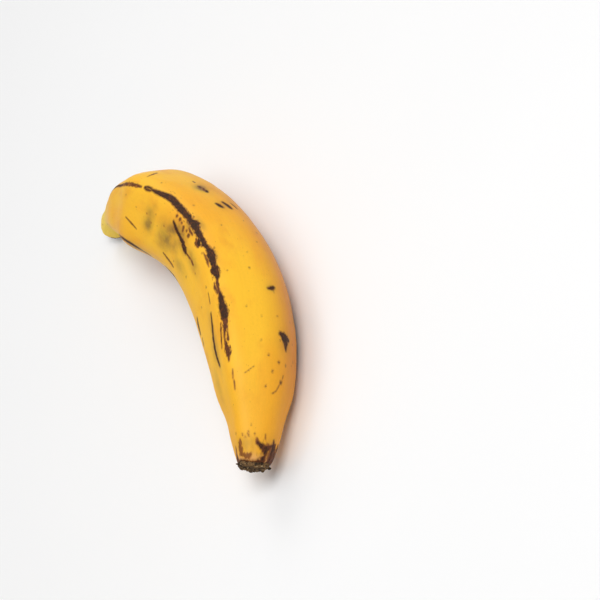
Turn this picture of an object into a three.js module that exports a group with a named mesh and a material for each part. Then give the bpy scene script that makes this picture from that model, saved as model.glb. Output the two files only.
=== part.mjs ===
// A ripe plantain, picked and lying on its side. Millimetres, +Z up, resting on z = 0.
// The fruit grew as one piece, so the peel, the stalk and the dried flower scar are one closed solid.
// "share" is the way along the middle of the fruit: 0 at the dried tip, 1 at the torn end of the stalk.
// "turn" is the angle round a section: 0 on the outer side of the bend, 90 degrees on the upper flank.
import * as THREE from 'three';

// Overall form
const LENGTH = 280;
const BEND = [[0, 2.0], [0.35, 6.3], [0.8, 5.45], [1, 4.2]]; // share, radians of bend per metre
const RADIUS = [ // share, mean radius of the section
  [0, 8.3], [0.02, 10.1], [0.05, 12.5], [0.09, 14.8], [0.14, 19.2], [0.2, 22.1], [0.28, 24.6],
  [0.38, 25.8], [0.5, 25.5], [0.6, 26.0], [0.68, 26.3], [0.75, 25.7], [0.81, 20.0], [0.855, 15.9],
  [0.895, 10.9], [0.94, 7.7], [0.98, 8.8], [1, 9.4],
];
const SWAY_START = 0.78; // the stalk bends out of the fruit's plane, from this share on
const SWAY_DEGREES = -51; // and by this much at its end, towards the lower flank

// The five long ridges, half way between five flatter sides
const FLAT_TURNS = [30, 108, 186, 254, 323]; // degrees
const TWIST_DEGREES = -17; // the ridges wind round by this much from tip to stalk end
const CRISPNESS = [[0, 4], [0.06, 5], [0.14, 6], [0.4, 4.6], [0.65, 4.8], [0.8, 6.8], [0.9, 5], [1, 3.4]];

// Slow swells of a grown fruit, never two sides alike
const SWELL = 0.28;

// The dried flower scar at the tip: a rough crust that stands proud of the peel
const SCAR_SHARE = 0.02;
const SCAR_ROUGHNESS = 0.55;
const SCAR_DOME = 2.4;
const SCAR_RINGS = [0.86, 0.66, 0.44, 0.22]; // shares of the rim's radius
const SCAR_NUB_TURN = 120; // degrees, a bract's stub that sticks out of the crust
const SCAR_NUB_HEIGHT = 1.7;
const SLANT = 2.6; // the tip isn't square: the peel reaches further over it on one side
const SLANT_TURN = 30; // degrees
const SLANT_SHARE = 0.03;

// The torn stalk end: a ragged rim round shallow broken fibres
const TORN_SHARE = 0.985;
const TORN_ROUGHNESS = 0.3;
const TORN_RINGS = [0.88, 0.7, 0.48, 0.24];
const TORN_DEPTH = 1.1;
const FIBRE_HEIGHT = 0.8;

// How the fruit lies: turned about Z, then Y, then X, and pressed a little flat where it touches
const HEADING_DEGREES = -40.21;
const DIP_DEGREES = -0.92;
const LEAN_DEGREES = -6.84;
const PRESS = 0.6;

// Fineness of the faceted surface
const RINGS = 78;
const SIDES_PER_RIDGE = 9;
const STEPS_PER_RING = 6;

const PEEL_COLOUR = 0xe9ae3f;
const RIGHT_ANGLE = 90;

// A smooth curve through [share, value] stations
function profile(stations) {
  const slopes = stations.map((station, i) => {
    const before = stations[Math.max(i - 1, 0)];
    const after = stations[Math.min(i + 1, stations.length - 1)];
    return (after[1] - before[1]) / (after[0] - before[0]);
  });
  return (share) => {
    const next = stations.findIndex((station) => station[0] > share);
    const i = next < 0 ? stations.length - 2 : Math.max(next - 1, 0);
    const width = stations[i + 1][0] - stations[i][0];
    const t = (share - stations[i][0]) / width;
    const rise = stations[i + 1][1] - stations[i][1];
    const a = slopes[i] * width - rise;
    const b = rise - slopes[i + 1] * width;
    return stations[i][1] + t * rise + t * (1 - t) * ((1 - t) * a + t * b);
  };
}

const bendAt = profile(BEND);
const radiusAt = profile(RADIUS);
const crispnessAt = profile(CRISPNESS);
const radians = THREE.MathUtils.degToRad;

// The middle of the fruit with its directions: along it, to the outer side and to the upper flank
function middleLine() {
  const steps = RINGS * STEPS_PER_RING;
  const step = LENGTH / steps;
  const point = new THREE.Vector3();
  const line = [];
  let bend = 0;
  for (let i = 0; i <= steps; i += 1) {
    const share = i / steps;
    const swayShare = Math.max(0, (share - SWAY_START) / (1 - SWAY_START));
    const sway = radians(SWAY_DEGREES) * swayShare ** 2;
    const along = new THREE.Vector3(
      Math.cos(bend) * Math.cos(sway),
      Math.sin(bend) * Math.cos(sway),
      Math.sin(sway),
    );
    const outer = new THREE.Vector3(Math.sin(bend), -Math.cos(bend), 0);
    const upper = new THREE.Vector3().crossVectors(outer, along);
    if (i % STEPS_PER_RING === 0) line.push({ share, point: point.clone(), along, outer, upper });
    point.addScaledVector(along, step);
    bend += bendAt(share + 0.5 / steps) * step / 1000;
  }
  return line;
}

// Turns of the section's corners, with the ridges on every SIDES_PER_RIDGE-th one
function sectionTurns() {
  const ridges = FLAT_TURNS.map((flat, i) => {
    const next = i + 1 < FLAT_TURNS.length ? FLAT_TURNS[i + 1] : FLAT_TURNS[0] + 360;
    return (flat + next) / 2;
  });
  const turns = [];
  ridges.forEach((ridge, i) => {
    const next = i + 1 < ridges.length ? ridges[i + 1] : ridges[0] + 360;
    for (let j = 0; j < SIDES_PER_RIDGE; j += 1) {
      turns.push(radians(ridge + (next - ridge) * j / SIDES_PER_RIDGE));
    }
  });
  return turns;
}

// Distance from the middle to the rounded five-sided outline, before it is scaled to the radius
function outline(turn, crispness) {
  const sum = FLAT_TURNS.reduce((total, flat) => {
    const facing = Math.max(0, Math.cos(turn - radians(flat)));
    return total + facing ** crispness;
  }, 0);
  return sum ** (-1 / crispness);
}

// Small uneven lumps, from -1 to 1, for crust and torn fibres
function lumps(turn, depth) {
  const slow = Math.sin(3 * turn + 1.3 + 4 * depth) * Math.cos(2 * turn - 0.6 + 3 * depth);
  const fast = Math.sin(9 * turn + 0.4 - 7 * depth) * Math.cos(5 * turn + 2.1 + 6 * depth);
  return 0.55 * slow + 0.45 * fast;
}

function swell(share, turn) {
  const first = Math.sin(9.5 * share + 1.1) * Math.cos(turn - 0.7);
  const second = Math.sin(17 * share - 0.5) * Math.cos(2 * turn + 1.9);
  return SWELL * (first + 0.7 * second) * Math.sin(Math.PI * share);
}

function slant(share, turn) {
  const side = Math.max(0, Math.cos(turn - radians(SLANT_TURN)));
  const fade = Math.max(0, 1 - share / SLANT_SHARE);
  return SLANT * side ** 2 * fade ** 2;
}

function ringAt(place, turns) {
  const { share, point, along, outer, upper } = place;
  const twist = radians(TWIST_DEGREES) * (share - 0.5);
  const crispness = crispnessAt(share);
  const outlines = turns.map((turn) => outline(turn, crispness));
  const mean = outlines.reduce((total, value) => total + value, 0) / outlines.length;
  return turns.map((turn, i) => {
    let radius = radiusAt(share) * outlines[i] / mean + swell(share, turn);
    if (share < SCAR_SHARE) radius += SCAR_ROUGHNESS * lumps(turn, share / SCAR_SHARE);
    if (share > TORN_SHARE) radius += TORN_ROUGHNESS * lumps(turn + 2, share);
    return point.clone()
      .addScaledVector(along, -slant(share, turn))
      .addScaledVector(outer, radius * Math.cos(turn + twist))
      .addScaledVector(upper, radius * Math.sin(turn + twist));
  });
}

// One end: smaller rings inside the rim, raised or sunk along the end's own direction, and a last point
function endRings(place, rim, turns, shares, height) {
  const outward = place.along.clone().multiplyScalar(place.share < 0.5 ? -1 : 1);
  const rings = shares.map((inner) => rim.map((corner, i) => (
    place.point.clone()
      .lerp(corner, inner)
      .addScaledVector(outward, height(turns[i], inner))
  )));
  const last = place.point.clone().addScaledVector(outward, height(0, 0));
  return { rings, last };
}

function scarHeight(turn, inner) {
  const fade = Math.cos(radians(RIGHT_ANGLE) * inner);
  const nub = Math.max(0, Math.cos(turn - radians(SCAR_NUB_TURN))) ** 12 * Math.sin(Math.PI * inner);
  return SCAR_DOME * fade + SCAR_NUB_HEIGHT * nub + SCAR_ROUGHNESS * lumps(turn, inner) * inner;
}

function tornHeight(turn, inner) {
  return -TORN_DEPTH * Math.sqrt(1 - inner) + FIBRE_HEIGHT * lumps(2 * turn, 2 * inner) * inner;
}

// Rings from the middle of the crust, over the peel, to the middle of the torn end
function fruitRings() {
  const turns = sectionTurns();
  const line = middleLine();
  const peel = line.map((place) => ringAt(place, turns));
  const scar = endRings(line[0], peel[0], turns, SCAR_RINGS, scarHeight);
  const torn = endRings(line[RINGS], peel[RINGS], turns, TORN_RINGS, tornHeight);
  return {
    rings: [...scar.rings.reverse(), ...peel, ...torn.rings],
    first: scar.last,
    last: torn.last,
  };
}

// Lays the fruit down on its lower flank and centres it over the origin
function layDown(points) {
  const lie = new THREE.Matrix4().makeRotationFromEuler(
    new THREE.Euler(radians(LEAN_DEGREES), radians(DIP_DEGREES), radians(HEADING_DEGREES), 'XYZ'),
  );
  points.forEach((point) => point.applyMatrix4(lie));
  const box = new THREE.Box3().setFromPoints(points);
  const centre = box.getCenter(new THREE.Vector3());
  const floor = box.min.z + PRESS;
  points.forEach((point) => {
    point.set(point.x - centre.x, point.y - centre.y, Math.max(0, point.z - floor));
  });
}

function closedSkin({ rings, first, last }) {
  const sides = rings[0].length;
  const points = [first, ...rings.flat(), last];
  layDown(points);
  const corner = (ring, side) => 1 + ring * sides + (side % sides);
  const triangles = [];
  for (let side = 0; side < sides; side += 1) {
    triangles.push(0, corner(0, side), corner(0, side + 1));
    for (let ring = 0; ring + 1 < rings.length; ring += 1) {
      const a = corner(ring, side);
      const b = corner(ring, side + 1);
      const c = corner(ring + 1, side + 1);
      const d = corner(ring + 1, side);
      triangles.push(a, d, c, a, c, b);
    }
    triangles.push(points.length - 1, corner(rings.length - 1, side + 1), corner(rings.length - 1, side));
  }
  const geometry = new THREE.BufferGeometry();
  const positions = points.flatMap((point) => [point.x, point.y, point.z]);
  geometry.setAttribute('position', new THREE.Float32BufferAttribute(positions, 3));
  geometry.setIndex(triangles);
  geometry.computeVertexNormals();
  return geometry;
}

const fruit = new THREE.Mesh(
  closedSkin(fruitRings()),
  new THREE.MeshStandardMaterial({ color: PEEL_COLOUR, roughness: 0.45, metalness: 0 }),
);
fruit.name = 'plantain';

const plantain = new THREE.Group();
plantain.add(fruit);

export default plantain;
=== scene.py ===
"""A ripe plantain lying on its side: streaked and bruised peel, dried flower scar and torn stalk end."""
import math

import bpy
import numpy as np
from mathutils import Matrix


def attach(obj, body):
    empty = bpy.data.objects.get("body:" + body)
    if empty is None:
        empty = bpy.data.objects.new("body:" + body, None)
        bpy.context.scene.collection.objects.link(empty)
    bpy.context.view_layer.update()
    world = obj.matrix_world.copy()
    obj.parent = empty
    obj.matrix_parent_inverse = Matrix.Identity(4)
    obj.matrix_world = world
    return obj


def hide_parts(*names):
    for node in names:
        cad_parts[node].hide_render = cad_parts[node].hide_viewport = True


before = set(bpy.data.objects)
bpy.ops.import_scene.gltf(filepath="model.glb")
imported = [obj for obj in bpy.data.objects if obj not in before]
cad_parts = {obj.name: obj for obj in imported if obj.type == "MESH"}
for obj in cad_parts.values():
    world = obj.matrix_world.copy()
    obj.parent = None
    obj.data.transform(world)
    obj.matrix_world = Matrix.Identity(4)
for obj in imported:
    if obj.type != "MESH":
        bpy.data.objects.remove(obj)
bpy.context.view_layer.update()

MM = 0.001
NODE = "plantain"

# Form of the fruit, as the solid has it.
# share: the way along the middle, 0 at the dried tip and 1 at the torn end of the stalk.
# turn: degrees round a section, 0 on the outer side of the bend, 90 on the upper flank.
LENGTH = 280 * MM
BEND = [(0, 2.0), (0.35, 6.3), (0.8, 5.45), (1, 4.2)]  # share, radians a metre
RADIUS = [  # share, mean radius in mm
    (0, 8.3), (0.02, 10.1), (0.05, 12.5), (0.09, 14.8), (0.14, 19.2), (0.2, 22.1), (0.28, 24.6),
    (0.38, 25.8), (0.5, 25.5), (0.6, 26.0), (0.68, 26.3), (0.75, 25.7), (0.81, 20.0), (0.855, 15.9),
    (0.895, 10.9), (0.94, 7.7), (0.98, 8.8), (1, 9.4),
]
SWAY_START = 0.78
SWAY_DEGREES = -51
FLAT_TURNS = (30, 108, 186, 254, 323)
TWIST_DEGREES = -17
CRISPNESS = [
    (0, 4), (0.06, 5), (0.14, 6), (0.4, 4.6), (0.65, 4.8), (0.8, 6.8), (0.9, 5), (1, 3.4),
]
SWELL = 0.28  # mm, slow uneven swells
SLANT = 2.6 * MM  # the tip isn't square: the peel reaches further over it on one side
SLANT_TURN = 30
SLANT_SHARE = 0.03

# How it lies: turned about Z, then Y, then X, set down by its tip and pressed flat where it touches
LIE_DEGREES = (-6.84, -0.92, -40.21)
TIP_PLACE = (-124.49 * MM, 36.284 * MM, 17.341 * MM)

# Fineness of the modelled peel
PEEL_RINGS = 74
PEEL_SIDES = 72
PEEL_LEVELS = 2
CAP_SHARES = (0.35, 0.75)  # rings that close its two ends, as shares of the end's radius
ROUND_STEP = 4  # degrees between the points that a section's mean reach is taken from
LINE_POINTS = 241

# Helps for the hand work
LUMP_SHIFTS = (0.37, 0.21, 0.13)  # how far a seed moves its lumps, so that no two layers line up
QUARTER = math.pi / 2
TINY = 1e-6  # keeps a division away from zero


def profile(stations):
    """A smooth curve through (share, value) stations, as a function of shares."""
    shares, values = np.array(stations, float).T
    before = np.maximum(np.arange(len(shares)) - 1, 0)
    after = np.minimum(np.arange(len(shares)) + 1, len(shares) - 1)
    slopes = (values[after] - values[before]) / (shares[after] - shares[before])

    def at(share):
        share = np.asarray(share, float)
        i = np.clip(np.searchsorted(shares, share, "right") - 1, 0, len(shares) - 2)
        width = shares[i + 1] - shares[i]
        t = (share - shares[i]) / width
        rise = values[i + 1] - values[i]
        a = slopes[i] * width - rise
        b = rise - slopes[i + 1] * width
        return values[i] + t * rise + t * (1 - t) * ((1 - t) * a + t * b)

    return at


bend_at = profile(BEND)
radius_in_mm = profile(RADIUS)
crispness_at = profile(CRISPNESS)


def radius_at(share):
    """Mean radius in metres; past either end it stays as it is at that end."""
    return radius_in_mm(np.clip(share, 0, 1)) * MM


def outline(turn, crispness):
    """Distance to the rounded five-sided outline, before it is scaled to the radius."""
    total = sum(np.maximum(0, np.cos(turn - math.radians(flat))) ** crispness for flat in FLAT_TURNS)
    return total ** (-1 / crispness)


def swell(share, turn):
    """Two slow waves along and round the fruit, in metres, so that no two sides are alike."""
    first = np.sin(9.5 * share + 1.1) * np.cos(turn - 0.7)
    second = np.sin(17 * share - 0.5) * np.cos(2 * turn + 1.9)
    return SWELL * MM * (first + 0.7 * second) * np.sin(math.pi * np.clip(share, 0, 1))


# Hand work on a piece


def select_only(*pieces):
    if bpy.context.object and bpy.context.object.mode != "OBJECT":
        bpy.ops.object.mode_set(mode="OBJECT")
    bpy.ops.object.select_all(action="DESELECT")
    for piece in pieces:
        piece.select_set(True)
    bpy.context.view_layer.objects.active = pieces[0] if pieces else None


def places_of(piece):
    """The piece's vertices as an array, in metres."""
    places = np.empty(len(piece.data.vertices) * 3)
    piece.data.vertices.foreach_get("co", places)
    return places.reshape(-1, 3)


def set_places(piece, places):
    piece.data.vertices.foreach_set("co", places.astype(np.float32).ravel())
    piece.data.update()


def apply_modifier(piece, kind, **settings):
    select_only(piece)
    modifier = piece.modifiers.new(kind.lower(), kind)
    for name, value in settings.items():
        setattr(modifier, name, value)
    bpy.ops.object.modifier_apply(modifier=modifier.name)


def subdivide(piece, levels):
    apply_modifier(piece, "SUBSURF", levels=levels, render_levels=levels)


def displace(piece, size, strength, seed, kind="CLOUDS", group="", stretch=1):
    """Push the surface in and out by a texture with lumps of that size, stretched lengthwise."""
    texture = bpy.data.textures.new(f"{piece.name}_{seed}", kind)
    texture.noise_scale = size
    place = bpy.data.objects.new(f"lump_place_{seed}", None)
    bpy.context.collection.objects.link(place)
    place.location = [seed * shift for shift in LUMP_SHIFTS]
    place.scale = (stretch, 1, 1)
    bpy.context.view_layer.update()
    apply_modifier(
        piece, "DISPLACE", texture=texture, texture_coords="OBJECT", texture_coords_object=place,
        strength=strength, mid_level=0.5, vertex_group=group,
    )
    bpy.data.objects.remove(place)


def loft(name, sides, stations):
    """A closed body along X: one ring that is extruded, moved and resized to each (place, radius) station."""
    select_only()
    place, radius = stations[0]
    bpy.ops.mesh.primitive_circle_add(
        vertices=sides, radius=radius, fill_type="NGON", location=(place, 0, 0), rotation=(0, QUARTER, 0)
    )
    piece = bpy.context.object
    piece.name = name
    bpy.ops.object.transform_apply(location=True, rotation=True)
    bpy.ops.object.mode_set(mode="EDIT")
    bpy.ops.mesh.select_all(action="SELECT")
    for next_place, next_radius in stations[1:]:
        bpy.ops.mesh.extrude_region_move(TRANSFORM_OT_translate={"value": (next_place - place, 0, 0)})
        growth = next_radius / radius
        bpy.ops.transform.resize(value=(1, growth, growth), center_override=(next_place, 0, 0))
        place, radius = next_place, next_radius
    bpy.ops.mesh.select_all(action="SELECT")
    bpy.ops.mesh.normals_make_consistent(inside=False)
    bpy.ops.object.mode_set(mode="OBJECT")
    return piece


def straight_turns(places):
    """Turn of each place on the straight fruit, in radians."""
    return np.arctan2(places[:, 2], -places[:, 1])


def raise_ridges(piece):
    """Turn the round sections of the straight body into rounded five-sided ones with slow swells."""
    places = places_of(piece)
    share = places[:, 0] / LENGTH
    turn = straight_turns(places)
    crispness = crispness_at(np.clip(share, 0, 1))
    round_turns = np.radians(np.arange(0, 360, ROUND_STEP))
    mean = np.mean([outline(t, crispness) for t in round_turns], axis=0)
    reach = np.hypot(places[:, 1], places[:, 2])
    grown = reach * outline(turn, crispness) / mean + swell(share, turn) * reach / radius_at(share)
    scale = grown / reach
    places[:, 1] *= scale
    places[:, 2] *= scale
    set_places(piece, places)


def slant_tip(piece):
    """Draw one side of the tip forward, as it is on the solid."""
    places = places_of(piece)
    share = places[:, 0] / LENGTH
    side = np.maximum(0, np.cos(straight_turns(places) - math.radians(SLANT_TURN)))
    fade = np.clip(1 - share / SLANT_SHARE, 0, 1)
    reach = np.clip(np.hypot(places[:, 1], places[:, 2]) / radius_at(share), 0, 1)
    places[:, 0] -= SLANT * side ** 2 * fade ** 2 * reach
    set_places(piece, places)


def write_attribute(piece, name, values, kind="FLOAT"):
    attribute = piece.data.attributes.new(name, kind, "POINT")
    field = "value" if kind == "FLOAT" else "vector"
    attribute.data.foreach_set(field, np.asarray(values, np.float32).ravel())


def keep_straight_places(piece):
    """Patterns that grew with the fruit are laid out on its straight form, in millimetres."""
    write_attribute(piece, "straight", places_of(piece) / MM, "FLOAT_VECTOR")


def middle_line():
    """The middle of the fruit as a curve with the ridges' twist in its tilt."""
    steps = 2 * (LINE_POINTS - 1)
    step = LENGTH / steps
    curve = bpy.data.curves.new("middle_line", "CURVE")
    curve.dimensions = "3D"
    curve.twist_mode = "Z_UP"
    spline = curve.splines.new("POLY")
    spline.points.add(LINE_POINTS - 1)
    point = np.zeros(3)
    bend = 0.0
    for i in range(steps + 1):
        share = i / steps
        if i % 2 == 0:
            spline.points[i // 2].co = (*point, 1)
            spline.points[i // 2].tilt = math.radians(-TWIST_DEGREES) * (share - 0.5)
        sway = math.radians(SWAY_DEGREES) * max(0, (share - SWAY_START) / (1 - SWAY_START)) ** 2
        along = (math.cos(bend) * math.cos(sway), math.sin(bend) * math.cos(sway), math.sin(sway))
        point = point + step * np.array(along)
        bend += float(bend_at(share + 0.5 / steps)) * step
    line = bpy.data.objects.new("middle_line", curve)
    bpy.context.collection.objects.link(line)
    return line


def bend_along(piece, line):
    apply_modifier(piece, "CURVE", object=line, deform_axis="POS_X")


def lay_down(piece):
    """Set the bent piece down where the fruit lies, with its place in its mesh, and press it flat below."""
    select_only(piece)
    piece.rotation_mode = "ZYX"
    piece.rotation_euler = [math.radians(angle) for angle in LIE_DEGREES]
    piece.location = TIP_PLACE
    bpy.ops.object.transform_apply(location=True, rotation=True)
    piece.rotation_mode = "XYZ"
    below = places_of(piece)[:, 2] < 0
    for part in (piece.data.polygons, piece.data.edges):
        part.foreach_set("select", np.zeros(len(part), bool))
    piece.data.vertices.foreach_set("select", below)
    bpy.ops.object.mode_set(mode="EDIT")
    bpy.context.tool_settings.mesh_select_mode = (True, False, False)
    if below.any():
        bpy.ops.transform.resize(value=(1, 1, 0), center_override=(0, 0, 0))
    bpy.ops.mesh.select_all(action="DESELECT")
    bpy.ops.object.mode_set(mode="OBJECT")


def smooth(piece):
    select_only(piece)
    bpy.ops.object.shade_smooth()


# Marks on the peel: strokes of (share, turn, half width in mm), as the ripening left them

BLACK_STREAKS = [
    # the long broken streak on the main ridge, from the shoulder towards the tip
    [(0.862, 77, 0.45), (0.852, 71, 0.6), (0.825, 71.5, 0.55), (0.8, 75, 0.45), (0.785, 76, 0.25)],
    [(0.69, 74, 0.3), (0.682, 72.8, 0.45), (0.668, 72.2, 0.4)],
    [(0.69, 75, 0.3), (0.68, 76, 0.45), (0.668, 75.2, 0.45), (0.662, 73.3, 0.4)],
    [(0.662, 73.2, 0.5), (0.65, 72.8, 0.9), (0.632, 71.5, 1.25), (0.612, 69.5, 1.5), (0.595, 68.5, 1.6),
     (0.58, 69, 1.7), (0.562, 69.5, 1.75), (0.545, 69, 1.6), (0.522, 69, 1.45), (0.51, 69, 1.45),
     (0.498, 67.5, 2.2), (0.488, 68, 2.0), (0.478, 69, 1.4), (0.468, 69.5, 1.6), (0.456, 69.5, 1.2),
     (0.447, 69.5, 1.7), (0.438, 69, 1.5), (0.43, 68.5, 0.9)],
    [(0.43, 68, 0.8), (0.418, 67, 1.4), (0.407, 67, 2.2), (0.395, 66.5, 2.2), (0.386, 67, 1.7),
     (0.377, 67.5, 1.1), (0.366, 68, 2.1), (0.356, 67.5, 2.0), (0.348, 67.5, 1.1), (0.342, 68, 0.4)],
    [(0.314, 69, 0.4), (0.302, 69.5, 1.3), (0.288, 69.5, 1.9), (0.275, 69.5, 2.2), (0.264, 69.5, 1.9)],
    # its side branch
    [(0.456, 72.5, 0.6), (0.449, 74, 1.2), (0.443, 74, 0.8)],
    # a streak on the upper flank
    [(0.553, 86, 0.5), (0.537, 89.5, 0.95), (0.52, 91.5, 0.8), (0.505, 93, 1.05), (0.492, 94.5, 1.4),
     (0.481, 96, 1.5), (0.472, 97.5, 1.3), (0.466, 98.5, 0.6)],
    # a thin line beside the main streak, nearer the tip
    [(0.292, 91.5, 0.4), (0.265, 95.5, 0.75), (0.245, 100, 0.95), (0.222, 102, 0.95), (0.205, 101.5, 0.85),
     (0.188, 98.5, 0.7), (0.182, 97, 0.3)],
    # the ridge above the inner side
    [(0.775, 145, 0.4), (0.745, 145, 0.7), (0.707, 148, 0.9), (0.67, 154, 0.6), (0.64, 154, 0.3)],
    [(0.56, 149, 0.2), (0.535, 148, 0.6), (0.5, 147, 0.9), (0.478, 147, 0.5)],
    [(0.43, 146, 0.3), (0.41, 147, 0.8), (0.39, 147, 0.4)],
    # arrowheads on the outer side
    [(0.314, 2, 0.7), (0.311, 6, 1.0), (0.31, 10, 0.5)],
    [(0.224, -1, 1.0), (0.222, -8, 1.5), (0.219, -16, 0.9)],
    [(0.219, -5, 1.5), (0.212, -9, 1.7), (0.203, -9, 1.0), (0.197, -10, 0.4)],
    # two dark spots in a blotch and two short strokes, on the back
    [(0.608, 27.5, 0.5), (0.604, 27.5, 0.7)],
    [(0.588, 24.5, 0.7), (0.583, 25.5, 0.8)],
    [(0.537, 27, 0.6), (0.53, 25, 1.0), (0.524, 23, 0.7)],
    [(0.541, 17, 0.6), (0.53, 14, 0.95), (0.52, 12, 0.8)],
    # patches round the dried tip
    [(0.03, 29, 0.7), (0.026, 18, 1.0), (0.021, 8, 1.2), (0.014, 0, 0.8)],
    [(0.024, 10, 0.8), (0.023, -2, 1.0), (0.027, -12, 0.6), (0.033, -24, 0.7)],
    [(0.038, -18, 0.5), (0.03, -26, 1.6), (0.02, -32, 2.6), (0.009, -34, 2.9), (0.001, -30, 3.0)],
    [(0.036, -52, 0.8), (0.02, -58, 2.4), (0.004, -62, 3.0)],
    [(0.007, 4, 1.3), (0.003, 12, 1.8), (0.001, 26, 1.0)],
    [(0.002, 106, 0.7), (0.0015, 80, 0.8), (0.0015, 50, 0.7), (0.002, 20, 0.9)],
    [(0.016, 116, 0.6), (0.01, 118, 1.2), (0.003, 122, 2.0)],
    [(0.034, 176, 0.6), (0.018, 180, 1.8), (0.003, 186, 2.4)],
    [(0.015, 214, 1.0), (0.004, 218, 2.0)],
    [(0.036, 236, 0.5), (0.02, 242, 1.8), (0.004, 252, 2.6)],
    [(0.012, 276, 1.2), (0.003, 284, 2.2)],
    # the lower outer ridge, away from the light
    [(0.79, -70, 0.2), (0.76, -71, 0.7), (0.74, -71, 0.5)],
    [(0.735, -72, 0.4), (0.71, -71, 1.1), (0.66, -71, 2.0), (0.63, -71.5, 1.3), (0.6, -70, 1.7),
     (0.57, -71, 0.7)],
    [(0.565, -72, 0.5), (0.55, -71, 1.5), (0.51, -70, 2.4), (0.48, -71, 1.6), (0.46, -72, 2.0),
     (0.43, -71, 0.8)],
    [(0.42, -73, 0.3), (0.4, -73, 0.9), (0.37, -72, 0.4)],
    [(0.36, -69, 0.3), (0.34, -70, 0.8), (0.29, -71, 1.5), (0.25, -71, 1.2), (0.2, -72, 0.4)],
    # the inner ridge and the side between it and the flank
    [(0.74, 219, 0.2), (0.7, 220, 0.8), (0.66, 220, 1.6), (0.62, 221, 1.9), (0.57, 220, 0.8),
     (0.54, 219, 0.3)],
    [(0.5, 222, 0.3), (0.46, 220, 1.6), (0.42, 219, 2.2), (0.39, 221, 1.5), (0.36, 221, 2.0),
     (0.32, 220, 0.8), (0.3, 219, 0.3)],
    [(0.26, 221, 0.3), (0.23, 220, 1.1), (0.18, 221, 0.5)],
    [(0.64, 185, 0.2), (0.59, 182, 0.7), (0.57, 182, 0.4)],
    [(0.56, 186, 0.3), (0.54, 187, 0.9), (0.52, 186, 0.5)],
    [(0.345, 192, 0.3), (0.33, 190, 0.8), (0.27, 188, 0.3)],
    # the lower sides
    [(0.57, 246, 0.6), (0.55, 249, 2.0), (0.53, 246, 3.0), (0.505, 243, 2.2), (0.49, 245, 0.9)],
    [(0.52, 252, 1.0), (0.5, 256, 1.6), (0.485, 255, 0.6)],
    [(0.34, 262, 0.3), (0.31, 259, 1.3), (0.29, 261, 0.8)],
    [(0.5, -38, 0.4), (0.485, -40, 1.4), (0.475, -36, 1.0)],
    [(0.66, -20, 0.3), (0.64, -22, 0.9), (0.63, -26, 0.5)],
    [(0.37, -48, 0.3), (0.36, -45, 1.1), (0.345, -46, 0.5)],
    [(0.7, -38, 0.4), (0.68, -41, 1.3), (0.665, -38, 0.9)],
    # where a ridge runs into the neck
    [(0.9, 221, 0.2), (0.88, 220, 0.6), (0.85, 221, 0.3)],
    # the stained rim of the stalk's end
    [(0.995, 0, 0.6), (0.996, 60, 0.5), (0.998, 120, 0.3), (0.998, 180, 0.3), (0.995, 240, 0.8),
     (0.995, 300, 0.8), (0.995, 360, 0.6)],
]

RUSTY_STREAKS = [
    # thin broken strands of the main streak
    [(0.343, 68.5, 0.4), (0.333, 69.5, 0.9), (0.324, 70, 0.6), (0.316, 70, 0.7), (0.309, 69, 0.7)],
    [(0.34, 73, 0.3), (0.332, 73.5, 0.7), (0.322, 73, 0.5), (0.314, 72.5, 0.3)],
    # the ragged end of the main streak
    [(0.258, 69.5, 1.1), (0.249, 70, 1.6), (0.24, 71.5, 1.5), (0.232, 73, 0.8), (0.224, 74, 0.4)],
    [(0.236, 68, 0.2), (0.226, 69, 0.4), (0.216, 69.5, 0.6)],
    [(0.226, 74, 0.3), (0.215, 74.3, 0.6), (0.207, 73.5, 1.1), (0.199, 72.3, 1.9), (0.191, 72, 1.6),
     (0.183, 72, 0.8), (0.177, 72.3, 0.35)],
    [(0.254, 76, 0.3), (0.24, 78, 0.5), (0.224, 80, 0.4), (0.208, 82, 0.25)],
    # on the left edge
    [(0.33, 129, 0.4), (0.32, 131, 0.9), (0.308, 132.5, 0.8), (0.298, 133.5, 0.6), (0.291, 134, 0.3)],
]

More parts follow.
